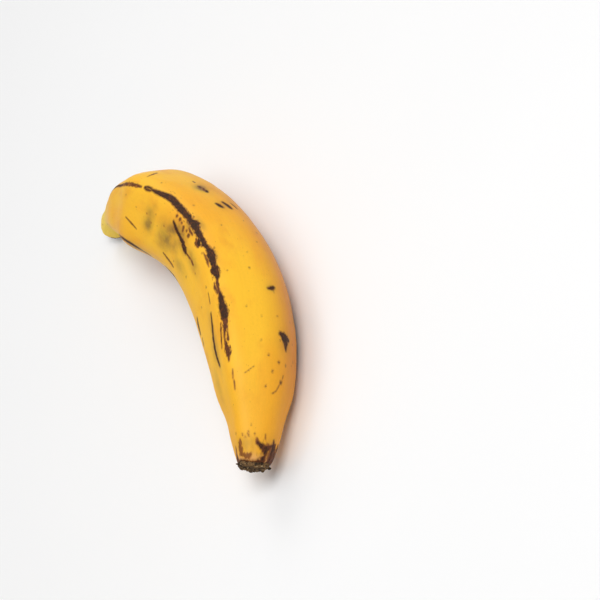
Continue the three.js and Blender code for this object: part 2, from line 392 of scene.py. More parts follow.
BROWN_STAINS = [
    # scorched start of the main streak
    [(0.805, 75, 0.5), (0.78, 76.5, 0.85), (0.745, 77, 1.0), (0.715, 76.5, 0.9), (0.7, 75.5, 0.5)],
    # speckled stretches of the main streak
    [(0.5, 75.5, 0.3), (0.49, 76.5, 0.65), (0.478, 76.5, 0.4)],
    [(0.42, 74, 0.2), (0.395, 73.5, 0.6), (0.38, 73.5, 0.3)],
    [(0.463, 75, 0.5), (0.453, 77.5, 1.3), (0.443, 77, 0.8)],
    [(0.16, 68.5, 0.15), (0.152, 69, 0.3), (0.143, 70, 0.2)],
    [(0.14, 68.5, 0.2), (0.132, 69, 0.4), (0.124, 69.5, 0.2)],
    # tail of the flank streak
    [(0.464, 97.5, 0.4), (0.452, 97, 0.6), (0.44, 96, 0.45), (0.43, 96, 0.75), (0.424, 96, 0.5)],
    # fine scratches
    [(0.559, 130, 0.35), (0.535, 131, 0.55), (0.508, 131.5, 0.5), (0.5, 132, 0.2)],
    [(0.736, 117, 0.25), (0.71, 121.5, 0.48), (0.684, 126, 0.22)],
    [(0.709, 61, 0.3), (0.71, 54, 0.75), (0.713, 47, 0.6)],
    [(0.15, 53, 0.05), (0.156, 46, 0.1), (0.163, 38, 0.05)],
    [(0.334, 86, 0.15), (0.325, 86.5, 0.25), (0.31, 88, 0.3)],
    [(0.28, 132, 0.3), (0.262, 134, 0.4)],
    [(0.137, -4, 0.1), (0.128, -1, 0.25), (0.122, 1, 0.15), (0.117, 6, 0.25), (0.116, 9, 0.1)],
    [(0.15, -8, 0.3), (0.144, -7, 0.1)],
    # a third short stroke on the back, fainter than the two black ones
    [(0.541, 6, 0.3), (0.532, 4, 0.55), (0.522, 2.5, 0.35)],
    # crumbs in a grey-brown blotch on the back
    [(0.637, 26, 0.2), (0.628, 26.5, 0.5)],
    [(0.609, 29, 0.5), (0.604, 27.5, 0.8)],
    [(0.599, 24.5, 0.5), (0.593, 26.5, 0.8), (0.587, 28, 0.4)],
    # paler smears round the dried tip
    [(0.046, 11, 0.15), (0.038, 9, 0.35)],
    [(0.046, 54, 0.2), (0.041, 51, 0.3)],
    [(0.037, 75, 0.5), (0.03, 77, 1.1), (0.022, 78.5, 1.5), (0.014, 79, 1.4)],
    [(0.013, 72, 0.7), (0.010, 64, 1.0), (0.010, 54, 1.0), (0.013, 47, 0.5)],
    [(0.037, 32, 0.6), (0.032, 29, 1.0)],
    [(0.03, 106, 0.4), (0.018, 110, 1.0), (0.01, 112, 1.3)],
    [(0.03, 2, 0.5), (0.022, -16, 1.1), (0.01, -12, 0.9)],
    # marks out of the light
    [(0.71, -43, 0.4), (0.69, -42, 1.2), (0.67, -44, 0.7)],
    [(0.54, 240, 1.0), (0.51, 237, 1.8), (0.48, 239, 0.8)],
    [(0.3, 250, 0.5), (0.28, 246, 1.6), (0.265, 249, 0.9)],
    [(0.45, 176, 0.4), (0.43, 172, 1.1), (0.42, 176, 0.5)],
    [(0.46, 202, 0.3), (0.43, 204, 1.0), (0.4, 203, 0.4)],
    [(0.66, 168, 0.2), (0.63, 169, 0.5), (0.6, 168, 0.2)],
    # weathered stalk
    [(0.99, 30, 0.8), (0.965, 34, 0.6), (0.95, 33, 0.2)],
    [(0.99, 272, 0.8), (0.955, 276, 0.6), (0.93, 275, 0.2)],
    [(0.992, 250, 0.7), (0.985, 252, 0.5), (0.975, 251, 0.2)],
    [(0.993, -90, 0.8), (0.994, 0, 0.7), (0.996, 90, 0.4), (0.996, 180, 0.4), (0.993, 270, 0.8)],
]

# Single spots: share, turn, radius in mm
SPOTS = [
    (0.551, 78, 0.95), (0.537, 78, 1.1), (0.527, 79, 0.7), (0.514, 81, 1.1), (0.511, 84, 0.9),
    (0.5, 80, 0.8), (0.487, 81.5, 1.25), (0.63, 108, 0.45), (0.546, 55, 0.4), (0.421, 76, 0.4),
    (0.433, 119, 0.5), (0.405, 99, 0.4), (0.348, 87, 0.45), (0.391, 24, 0.3), (0.354, 28, 0.45),
    (0.354, 55, 0.3), (0.274, 42, 0.3), (0.183, 17, 0.5), (0.171, 2, 0.6), (0.17, -11, 0.5),
    (0.154, 11, 0.5), (0.128, 20, 0.45), (0.138, -5, 0.9), (0.255, 24, 0.3), (0.256, 3, 0.3),
    (0.21, 27, 0.3), (0.045, 37, 0.35), (0.05, 88, 0.35), (0.048, 52, 0.35), (0.061, 46, 0.25),
    (0.044, 66, 0.35), (0.04, 60, 0.3), (0.47, 40, 0.3), (0.62, 95, 0.3), (0.58, 100, 0.4),
    (0.66, 60, 0.3), (0.7, 100, 0.3), (0.75, 90, 0.35), (0.22, -30, 0.45), (0.26, -24, 0.4),
    (0.3, -28, 0.35), (0.19, -36, 0.5), (0.42, 5, 0.3), (0.45, -4, 0.4), (0.33, 110, 0.35),
    (0.38, -60, 0.5), (0.6, -50, 0.6), (0.52, -56, 0.5), (0.2, -58, 0.6), (0.7, -58, 0.6),
    (0.42, 190, 0.6), (0.48, 200, 0.5), (0.66, 205, 0.6), (0.28, 200, 0.6), (0.6, 260, 0.7),
    (0.4, 266, 0.6), (0.22, 256, 0.6), (0.47, 252, 0.5), (0.71, 246, 0.7), (0.16, 190, 0.5),
    (0.94, 60, 0.4), (0.92, 150, 0.4), (0.9, 250, 0.5), (0.96, 130, 0.35),
]

# Soft grey-green bruises: share, turn, half length and half width in mm, strength
BRUISES = [
    (0.64, 111, 5.5, 4.6, 0.85), (0.64, 98, 6.0, 4.5, 0.5), (0.632, 90, 4.0, 2.6, 0.35),
    (0.56, 108, 11, 7.5, 0.82), (0.567, 122, 9.0, 3.5, 0.45), (0.548, 96, 8.0, 4.5, 0.8),
    (0.533, 107, 12, 5.5, 0.55),
    (0.516, 87, 9.0, 3.6, 0.8), (0.5, 75, 6.0, 2.0, 0.7), (0.475, 120, 10, 4.0, 0.4),
    (0.435, 95, 11, 3.4, 0.6), (0.5, 99, 12, 3.0, 0.55), (0.395, 63, 5.0, 1.8, 0.5),
    (0.49, 62, 6.0, 1.8, 0.5), (0.24, 97, 15, 2.4, 0.5), (0.215, 106, 9.0, 3.0, 0.35),
    (0.599, 27, 4.8, 3.8, 1.0), (0.6, 25, 8.0, 5.0, 0.35), (0.53, 19, 5.0, 5.0, 0.3),
    (0.7, 152, 14, 3.0, 0.5), (0.16, 118, 10, 3.0, 0.35),
    (0.025, 60, 5.0, 8.0, 0.35), (0.213, -9, 5.0, 4.0, 0.45),
    (0.015, -10, 6.0, 6.0, 0.5), (0.311, 7, 2.5, 2.5, 0.35), (0.54, 4, 6.0, 3.0, 0.3),
    (0.5, -66, 16, 4.5, 0.6), (0.65, -66, 14, 4.0, 0.5), (0.4, 214, 18, 5.0, 0.6),
    (0.62, 214, 12, 5.0, 0.55), (0.52, 246, 13, 8.0, 0.6), (0.3, 262, 10, 7.0, 0.45),
    (0.72, 190, 14, 8.0, 0.5), (0.36, 170, 12, 6.0, 0.4), (0.78, -30, 12, 7.0, 0.35),
    (0.29, -44, 10, 6.0, 0.35),
]

STREAKS = {"black": BLACK_STREAKS, "brown": BROWN_STAINS, "rusty": RUSTY_STREAKS}
SPOT_SQUASH = 0.8  # single spots are a little longer than they are wide
FAR_MM = 9.0  # depths are kept down to this far outside a stroke


def across_mm(turn, centre, radius):
    """Distance round the section from one turn to another, in millimetres."""
    return np.radians((turn - centre + 180) % 360 - 180) * radius


def stroke_depth(share, turn, radius, strokes):
    """How deep each point lies inside the nearest stroke, and that stroke's half width there, in mm."""
    length = LENGTH / MM
    depth = np.full(len(share), -FAR_MM)
    width = np.zeros(len(share))
    for stroke in strokes:
        for (share_a, turn_a, width_a), (share_b, turn_b, width_b) in zip(stroke, stroke[1:]):
            along, across = (share - share_a) * length, across_mm(turn, turn_a, radius)
            run, side = (share_b - share_a) * length, across_mm(turn_b, turn_a, radius)
            t = np.clip((along * run + across * side) / np.maximum(run ** 2 + side ** 2, TINY), 0, 1)
            own_width = width_a + t * (width_b - width_a)
            own_depth = own_width - np.hypot(along - t * run, across - t * side)
            width = np.where(own_depth > depth, own_width, width)
            depth = np.maximum(depth, own_depth)
    return depth, width


def spot_depth(share, turn, radius):
    """How deep each point lies inside the nearest single spot, in mm."""
    depth = np.full(len(share), -FAR_MM)
    for centre_share, centre_turn, size in SPOTS:
        along = (share - centre_share) * LENGTH / MM
        across = across_mm(turn, centre_turn, radius)
        depth = np.maximum(depth, size - np.hypot(along * SPOT_SQUASH, across))
    return depth


def bruise_strength(share, turn, radius):
    """Soft clouds, 0 to 1."""
    strength = np.zeros(len(share))
    for centre_share, centre_turn, half_length, half_width, peak in BRUISES:
        along = (share - centre_share) * LENGTH / MM / half_length
        across = across_mm(turn, centre_turn, radius) / half_width
        strength = np.maximum(strength, peak * np.exp(-(along ** 2 + across ** 2)))
    return strength


def mark_peel(piece):
    """Write every kind of mark to the peel's points, and give the depth of the marks that are sunk."""
    places = places_of(piece)
    share = places[:, 0] / LENGTH
    turn = np.degrees(straight_turns(places))
    radius = np.maximum(radius_in_mm(np.clip(share, 0, 1)), 1)
    depths = {}
    for kind, strokes in STREAKS.items():
        depths[kind], width = stroke_depth(share, turn, radius, strokes)
        write_attribute(piece, f"{kind}_depth", depths[kind])
        write_attribute(piece, f"{kind}_width", width)
    write_attribute(piece, "spot_depth", spot_depth(share, turn, radius))
    write_attribute(piece, "bruise", bruise_strength(share, turn, radius))
    return np.maximum(depths["black"], depths["rusty"])


# Pieces

PEEL_START = 0.002  # share where the peel meets the crust
PEEL_END = 0.992  # share where it meets the torn fibres
STREAK_SINK = 0.12 * MM  # the dried streaks lie a little lower than the peel
STREAK_BANK_MM = 0.8  # and reach that depth this far inside their edge
DRY_STALK = (0.9, 0.08)  # share where the wrinkles of the dried stalk start, and how long they take to grow
DRY_TIP = (0.04, 0.03)  # the same at the tip, where they grow the other way
PEEL_RELIEF = [(17 * MM, 0.35 * MM, 1), (4.5 * MM, 0.12 * MM, 2)]  # size of the lumps, height, seed
DRY_RELIEF = (2.2 * MM, 0.55 * MM, 8)
DRY_STRETCH = 6


def weigh(piece, name, weights):
    """A vertex group from an array of weights."""
    group = piece.vertex_groups.new(name=name)
    for i in np.flatnonzero(weights > 0):
        group.add([int(i)], float(weights[i]), "REPLACE")


def model_peel(line):
    """The whole peel: lofted straight, ridged, subdivided, marked, then bent and laid down."""
    shares = np.linspace(PEEL_START, PEEL_END, PEEL_RINGS)
    rings = [(share * LENGTH, float(radius_at(share))) for share in shares]
    ends = (rings[0][0], rings[-1][0])
    start_cap = [(ends[0], rings[0][1] * inner) for inner in CAP_SHARES]
    end_cap = [(ends[1], rings[-1][1] * inner) for inner in reversed(CAP_SHARES)]
    peel = loft("peel", PEEL_SIDES, start_cap + rings + end_cap)
    raise_ridges(peel)
    subdivide(peel, PEEL_LEVELS)
    keep_straight_places(peel)
    depth = mark_peel(peel)
    share = places_of(peel)[:, 0] / LENGTH
    dry_stalk = np.clip((share - DRY_STALK[0]) / DRY_STALK[1], 0, 1)
    dry_tip = np.clip((DRY_TIP[0] - share) / DRY_TIP[1], 0, 1)
    weigh(peel, "sunken", np.clip(depth / STREAK_BANK_MM, 0, 1))
    weigh(peel, "dry_ends", dry_stalk + dry_tip)
    apply_modifier(peel, "DISPLACE", strength=-STREAK_SINK, mid_level=0, vertex_group="sunken")
    for layer in PEEL_RELIEF:
        displace(peel, *layer)
    displace(peel, *DRY_RELIEF, group="dry_ends", stretch=DRY_STRETCH)
    peel.vertex_groups.clear()
    slant_tip(peel)
    bend_along(peel, line)
    lay_down(peel)
    smooth(peel)
    return peel


END_LEVELS = 2
SCAR_SIDES = 40
SCAR_STATIONS = [  # place along X and radius in mm, from under the peel round the rim to the middle
    (3.2, 6.6), (1.9, 7.1), (1.0, 7.6), (0.3, 8.0), (-0.3, 8.2), (-0.9, 7.9), (-1.2, 7.1), (-1.3, 5.8),
    (-1.5, 4.0), (-1.9, 2.2), (-2.0, 1.0),
]
SCAR_SHIFT = (0, 0.3 * MM, 0.6 * MM)  # the crust sits a little to one side
SCAR_RELIEF = [(3.2 * MM, 1.0 * MM, 3), (1.1 * MM, 0.7 * MM, 4), (0.45 * MM, 0.35 * MM, 5, "STUCCI")]
BRACT_ROUNDS = 2  # how finely a stub starts, before the whole crust is subdivided
SCAR_BRACTS = [  # turn, distance from the middle, height over the disc, half sizes: outward, along, across
    (112, 8.2, -0.3, 1.4, 0.7, 0.9), (62, 7.6, -0.8, 0.8, 0.5, 1.5), (20, 7.5, -0.9, 0.9, 0.5, 1.7),
    (-14, 7.5, -0.8, 0.7, 0.5, 1.2), (-52, 7.4, -0.7, 0.7, 0.5, 1.1), (160, 7.8, -0.9, 0.9, 0.6, 1.6),
    (205, 8.1, -0.8, 1.0, 0.7, 1.3), (250, 7.9, -0.9, 0.9, 0.6, 1.5), (290, 8.2, -0.6, 1.0, 0.6, 1.1),
    (75, 4.9, -1.7, 1.3, 0.5, 1.0), (-20, 4.4, -1.8, 1.2, 0.5, 1.3), (215, 4.6, -1.7, 1.4, 0.5, 0.9),
    (140, 3.2, -2.0, 0.9, 0.5, 0.8), (0, 0.5, -2.1, 1.5, 0.5, 1.2),
]


def model_scar(line):
    """The dried flower scar: a rough crust round the tip with stubs of dead bracts."""
    scar = loft("flower_scar", SCAR_SIDES, [(place * MM, radius * MM) for place, radius in SCAR_STATIONS])
    stubs = [model_bract(*bract) for bract in SCAR_BRACTS]
    select_only(scar, *stubs)
    bpy.ops.object.join()
    subdivide(scar, END_LEVELS)
    for layer in SCAR_RELIEF:
        displace(scar, *layer)
    bpy.ops.transform.translate(value=SCAR_SHIFT)
    bpy.ops.object.transform_apply(location=True)
    keep_straight_places(scar)
    slant_tip(scar)
    bend_along(scar, line)
    lay_down(scar)
    smooth(scar)
    return scar


def model_bract(turn, distance, height, outward, along, across):
    """A stub of a dead bract: a squashed lump turned to lie round the crust."""
    select_only()
    angle = math.radians(turn)
    place = (height * MM, -distance * math.cos(angle) * MM, distance * math.sin(angle) * MM)
    bpy.ops.mesh.primitive_ico_sphere_add(subdivisions=BRACT_ROUNDS, radius=MM, location=place)
    stub = bpy.context.object
    bpy.ops.object.mode_set(mode="EDIT")
    bpy.ops.mesh.select_all(action="SELECT")
    bpy.ops.transform.resize(value=(along, outward, across), center_override=place)
    bpy.ops.transform.rotate(value=angle, orient_axis="X", center_override=place)
    bpy.ops.object.mode_set(mode="OBJECT")
    bpy.ops.object.transform_apply(location=True)
    return stub


TEAR_SIDES = 40
TEAR_STATIONS = [  # place past the peel's end and radius in mm
    (-2.6, 7.2), (-1.2, 8.1), (-0.2, 8.6), (0.6, 8.7), (1.2, 8.3), (1.1, 7.6), (0.3, 6.9), (-0.3, 5.5),
    (-0.5, 3.6), (-0.5, 1.6),
]
TEAR_RELIEF = [(2.6 * MM, 0.9 * MM, 6), (0.8 * MM, 0.5 * MM, 7)]
FIBRES = 90
FIBRE_SEED = 11
FIBRE_SIDES = 6
FIBRE_SPREAD = 6.9  # mm, how far from the middle they grow
FIBRE_ROOT = 0.4 * MM  # how far they start behind the peel's end
FIBRE_HEIGHTS = (0.8, 2.3)  # mm
FIBRE_RADII = (0.25, 0.5)  # mm
FIBRE_LEAN = 0.35  # radians
FIBRE_TAPER = 0.35


def model_tear(line):
    """The torn stalk end: a dark ragged rim round a sunk bed of broken fibres."""
    base = PEEL_END * LENGTH
    stations = [(base + place * MM, radius * MM) for place, radius in TEAR_STATIONS]
    tear = loft("stalk_tear", TEAR_SIDES, stations)
    subdivide(tear, END_LEVELS)
    for layer in TEAR_RELIEF:
        displace(tear, *layer)
    draw = np.random.default_rng(FIBRE_SEED)
    stumps = []
    for _ in range(FIBRES):
        distance = FIBRE_SPREAD * math.sqrt(draw.random()) * MM
        angle = draw.uniform(0, 2 * math.pi)
        height = draw.uniform(*FIBRE_HEIGHTS) * MM
        middle = base - FIBRE_ROOT + height / 2
        place = (middle, -distance * math.cos(angle), distance * math.sin(angle))
        lean = draw.uniform(-FIBRE_LEAN, FIBRE_LEAN)
        stumps.append(model_fibre(place, height, draw.uniform(*FIBRE_RADII) * MM, lean))
    select_only(tear, *stumps)
    bpy.ops.object.join()
    keep_straight_places(tear)
    bend_along(tear, line)
    lay_down(tear)
    smooth(tear)
    return tear


def model_fibre(place, height, radius, lean):
    """One broken fibre: a leaning tapered stump."""
    select_only()
    bpy.ops.mesh.primitive_cone_add(
        vertices=FIBRE_SIDES, radius1=radius, radius2=radius * FIBRE_TAPER, depth=height,
        location=place, rotation=(0, QUARTER, lean),
    )
    bpy.ops.object.transform_apply(location=True, rotation=True)
    return bpy.context.object


# Materials


def linear(red, green, blue):
    """A colour as seen, 0 to 255, in the linear values that shaders take."""
    def one(value):
        value /= 255
        return value / 12.92 if value <= 0.04045 else ((value + 0.055) / 1.055) ** 2.4
    return (one(red), one(green), one(blue), 1)


class Board:
    """A node tree with short ways to add and join nodes."""

    def __init__(self, tree):
        self.tree = tree

    def put(self, socket, value):
        if isinstance(value, bpy.types.NodeSocket):
            self.tree.links.new(value, socket)
        elif value is not None:
            socket.default_value = value

    def put_in_order(self, sockets, values):
        for socket, value in zip(sockets, values):
            self.put(socket, value)

    def node(self, kind, inputs=None, **settings):
        made = self.tree.nodes.new(kind)
        for name, value in settings.items():
            setattr(made, name, value)
        for name, value in (inputs or {}).items():
            self.put(made.inputs[name], value)
        return made

    def math(self, operation, a, b=None, c=None, clamp=False):
        made = self.node("ShaderNodeMath", operation=operation, use_clamp=clamp)
        self.put_in_order(made.inputs, (a, b, c))
        return made.outputs[0]

    def times(self, a, b):
        return self.math("MULTIPLY", a, b)

    def ramp(self, value, low, high, to_low=0.0, to_high=1.0):
        """Smoothly from to_low to to_high as the value goes from low to high."""
        return self.node("ShaderNodeMapRange", {
            "Value": value, "From Min": low, "From Max": high, "To Min": to_low, "To Max": to_high,
        }, interpolation_type="SMOOTHSTEP").outputs["Result"]

    def mix(self, factor, a, b, blend="MIX"):
        made = self.node("ShaderNodeMix", data_type="RGBA", blend_type=blend)
        self.put_in_order((made.inputs[0], made.inputs[6], made.inputs[7]), (factor, a, b))
        return made.outputs[2]

    def tint(self, colour, tone, mask, strength):
        """Lay a tone over the colour where the mask is, by that strength."""
        return self.mix(self.times(mask, strength), colour, tone)

    def attribute(self, name, output="Fac"):
        return self.node("ShaderNodeAttribute", attribute_name=name).outputs[output]

    def stretched(self, place, along, across, shift):
        """The place, scaled lengthwise and the other two ways and then moved by the shift."""
        scale = self.node("ShaderNodeCombineXYZ", {"X": along, "Y": across, "Z": across}).outputs[0]
        made = self.node("ShaderNodeVectorMath", operation="MULTIPLY_ADD")
        self.put_in_order(made.inputs, (place, scale, shift))
        return made.outputs[0]

    def group(self, group, **inputs):
        return self.node("ShaderNodeGroup", inputs, node_tree=group).outputs[0]


VECTOR = "NodeSocketVector"
FLOAT = "NodeSocketFloat"


def new_group(name, inputs, output):
    """An empty node group with named inputs and one output: its board, its input sockets and its end."""
    tree = bpy.data.node_groups.new(name, "ShaderNodeTree")
    for label, (kind, value) in inputs.items():
        socket = tree.interface.new_socket(label, in_out="INPUT", socket_type=kind)
        if value is not None:
            socket.default_value = value
    tree.interface.new_socket(output, in_out="OUTPUT", socket_type=FLOAT)
    sockets = tree.nodes.new("NodeGroupInput").outputs
    end = tree.nodes.new("NodeGroupOutput")
    return Board(tree), sockets, end.inputs[0]


def grain_group():
    """Noise stretched along the fruit, 0 to 1, with grains of a length and a width in mm."""
    board, given, end = new_group("lengthwise grain", {
        "Place": (VECTOR, None), "Length": (FLOAT, 10.0), "Width": (FLOAT, 1.0),
        "Detail": (FLOAT, 3.0), "Shift": (FLOAT, 0.0),
    }, "Grain")
    along = board.math("DIVIDE", 1.0, given["Length"])
    across = board.math("DIVIDE", 1.0, given["Width"])
    noise = board.node("ShaderNodeTexNoise", {
        "Vector": board.stretched(given["Place"], along, across, given["Shift"]), "Scale": 1.0,
        "Detail": given["Detail"], "Roughness": 0.55,
    })
    board.put(end, noise.outputs["Fac"])
    return board.tree


def stain_group(grain):
    """A mask with a ragged edge from a depth in mm: the edge wanders by the raggedness along the grain."""
    board, given, end = new_group("ragged stain", {
        "Depth": (FLOAT, 0.0), "Place": (VECTOR, None), "Ragged": (FLOAT, 0.5), "Soft": (FLOAT, 0.15),
        "Length": (FLOAT, 2.5), "Width": (FLOAT, 0.7), "Shift": (FLOAT, 0.0),
    }, "Mask")
    edge = board.group(grain, Place=given["Place"], Length=given["Length"], Width=given["Width"],
                       Detail=3.0, Shift=given["Shift"])
    wander = board.times(board.math("MULTIPLY_ADD", edge, 4.0, -2.0), given["Ragged"])
    depth = board.math("ADD", given["Depth"], wander)
    board.put(end, board.ramp(depth, board.times(given["Soft"], -1.0), given["Soft"]))
    return board.tree


def fleck_group():
    """Scattered dots or dashes of a spacing and size in mm; only the given share of the cells has one."""
    board, given, end = new_group("flecks", {
        "Place": (VECTOR, None), "Spacing": (FLOAT, 4.0), "Size": (FLOAT, 0.4), "Stretch": (FLOAT, 1.0),
        "Portion": (FLOAT, 0.3), "Shift": (FLOAT, 0.0),
    }, "Mask")
    across = board.math("DIVIDE", 1.0, given["Spacing"])
    along = board.math("DIVIDE", across, given["Stretch"])
    place = board.stretched(given["Place"], along, across, given["Shift"])
    cells = board.node("ShaderNodeTexVoronoi", {"Vector": place, "Scale": 1.0})
    chance = board.node("ShaderNodeSeparateColor", {"Color": cells.outputs["Color"]})
    wobble = board.node("ShaderNodeTexNoise", {"Vector": place, "Scale": 5.0, "Detail": 2.0})
    size = board.times(board.math("DIVIDE", given["Size"], given["Spacing"]),
                       board.math("MULTIPLY_ADD", chance.outputs[1], 0.9, 0.4))
    size = board.times(size, board.math("MULTIPLY_ADD", wobble.outputs["Fac"], 1.4, 0.3))
    dot = board.ramp(cells.outputs["Distance"], board.times(size, 1.25), board.times(size, 0.6))
    kept = board.math("LESS_THAN", chance.outputs[0], given["Portion"])
    board.put(end, board.times(dot, kept))
    return board.tree


YELLOW = linear(251, 192, 46)
DEEP_YELLOW = linear(247, 176, 40)
ORANGE = linear(230, 146, 40)
# painted shade: a deeper orange that stands in for shade and warm bounce light on the underside
PAINTED_SHADE_ORANGE = linear(208, 124, 24)
STALK_YELLOW = linear(255, 222, 76)
TIP_BEIGE = linear(222, 162, 100)
OLIVE = linear(136, 110, 44)
GREY_BRUISE = linear(120, 90, 46)
TAN = linear(182, 112, 38)
FRECKLE_BROWN = linear(150, 82, 28)
FRINGE_BROWN = linear(112, 56, 18)
SCORCHED = linear(72, 37, 16)
STREAK_BLACK = linear(50, 26, 4)
STREAK_RUST = linear(94, 47, 12)
SPOT_BROWN = linear(98, 60, 20)
STREAK_PURPLE = linear(100, 58, 38)
RUST_DARK = linear(72, 31, 12)
TIP_RUST = linear(110, 55, 24)
SHEEN_TINT = (1.0, 0.93, 0.8, 1)
CRUST_DARK = linear(40, 27, 14)
CRUST_BROWN = linear(124, 94, 58)
CRUST_PALE = linear(196, 172, 130)
TORN_DARK = linear(36, 27, 20)
TORN_BROWN = linear(92, 66, 42)
TORN_PALE = linear(150, 132, 104)
FLOOR_PALE = (0.9, 0.9, 0.9, 1)
FLOOR_PALER = (0.92, 0.92, 0.92, 1)

# Where the peel's look changes along the straight fruit and, for the painted shade on the underside,
# downwards.
# Each change starts at the first place, in mm, and is full at the second.
TIP_STAINED = (60.0, 20.0)
TIP_COLLAR = (2.0, -1.5)
CALM_EDGES = (138.0, 168.0)
STALK_PALE = (0.86 * LENGTH / MM, 0.96 * LENGTH / MM)
STALK_DRIED = (LENGTH / MM - 2.0, LENGTH / MM + 5.0)
PAINTED_SHADE_UNDERSIDE = (12.0, -12.0)

# Grains of the peel: length and width in mm, detail and shift
PEEL_GRAINS = {
    "clouds": (60.0, 24.0, 3.0, 3.1),
    "mottle": (16.0, 9.0, 3.0, 7.7),
    "bruise": (8.0, 5.0, 3.0, 2.2),
    "fibres": (24.0, 1.0, 3.0, 1.3),
    "patches": (4.5, 1.5, 5.0, 12.0),
    "lumps": (4.0, 1.9, 2.0, 21.0),
    "fine": (1.5, 0.8, 4.0, 5.5),
    "crackle": (1.4, 0.35, 4.0, 15.0),
}

# Dots on the peel, spacing and size in mm
PORES = {"Spacing": 1.9, "Size": 0.24, "Stretch": 1.6, "Portion": 0.3, "Shift": 4.0}
FRECKLES = {"Spacing": 5.0, "Size": 0.5, "Stretch": 1.4, "Portion": 0.22, "Shift": 9.0}
SPRAY = {"Spacing": 1.3, "Size": 0.45, "Stretch": 2.4, "Portion": 0.4, "Shift": 6.0}

# How a kind of mark soaks into the peel: its rim's reach past the core, softness and strength, its core's
# softness and strength, and the grain of its edge
BROWN_SOAK = ((0.3, 0.45, 0.6), (0.35, 0.93), {"Length": 2.0, "Width": 0.9, "Shift": 8.0})
SPOT_SOAK = ((0.45, 0.45, 0.6), (0.35, 0.9), {"Length": 1.0, "Width": 0.8, "Shift": 3.0})
RUSTY_SOAK = ((0.35, 0.6, 0.65), (0.4, 0.96), {"Length": 2.2, "Width": 0.8, "Shift": 31.0})
BLACK_SOAK = ((0.5, 0.6, 0.75), (0.3, 1.0), {"Length": 2.2, "Width": 1.6, "Shift": 2.0})
SPOT_SHRINK = 0.15
SPOT_RAGGED = 0.3


def new_material(name):
    material = bpy.data.materials.new(name)
    material.use_nodes = True
    board = Board(material.node_tree)
    shader = material.node_tree.nodes["Principled BSDF"]
    return material, board, shader


def finish_shader(board, shader, colour, roughness, specular):
    board.put(shader.inputs["Base Color"], colour)
    board.put(shader.inputs["Roughness"], roughness)
    board.put(shader.inputs["Specular IOR Level"], specular)


def roughen(board, shader, height, depth, strength):
    """Fine relief, where a height of 1 stands that depth proud."""
    bump = board.node("ShaderNodeBump", {"Height": height, "Distance": depth, "Strength": strength})
    board.put(shader.inputs["Normal"], bump.outputs[0])


